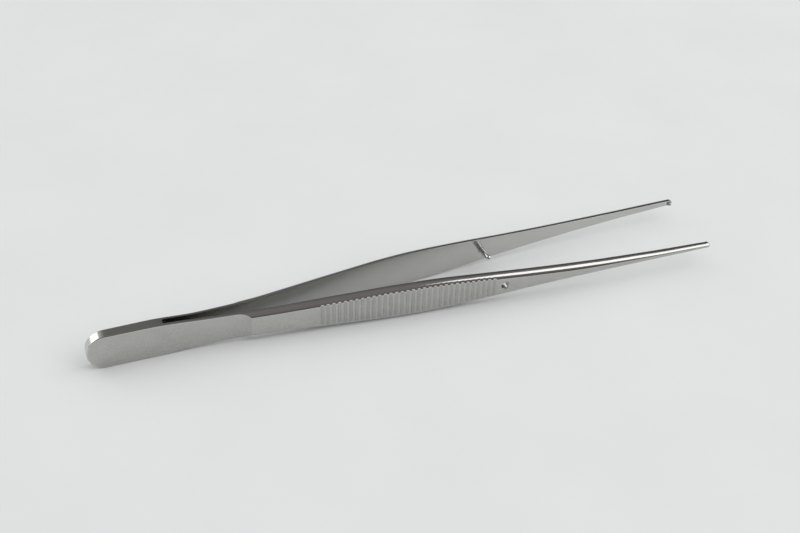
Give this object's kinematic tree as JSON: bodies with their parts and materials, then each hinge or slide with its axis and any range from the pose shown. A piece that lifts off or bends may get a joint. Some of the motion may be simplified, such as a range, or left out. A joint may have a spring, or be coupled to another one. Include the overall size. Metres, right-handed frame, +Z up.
{
  "type": "thumb forceps",
  "caption": "Slim steel thumb forceps with a solid rounded heel, sprung arms, ribbed grips, a guide pin with its hole, and fine tapered tips that end in meshing teeth.",
  "frame": {"origin": "on the floor, midway between the two arms and midway between the heel's end and the tips", "axes": "+X runs from the heel to the tips, +Y runs from the arm with the guide hole to the arm with the pin, +Z is up from the long edges that it lies on"},
  "size_m": [0.125, 0.0168, 0.0074],
  "materials": {
    "satin_steel": "satin",
    "polished_steel": "polished"
  },
  "bodies": {
    "root": {"hole_arm": "satin_steel", "pin_arm": "satin_steel", "guide_pin": "polished_steel"}
  },
  "joints": []
}
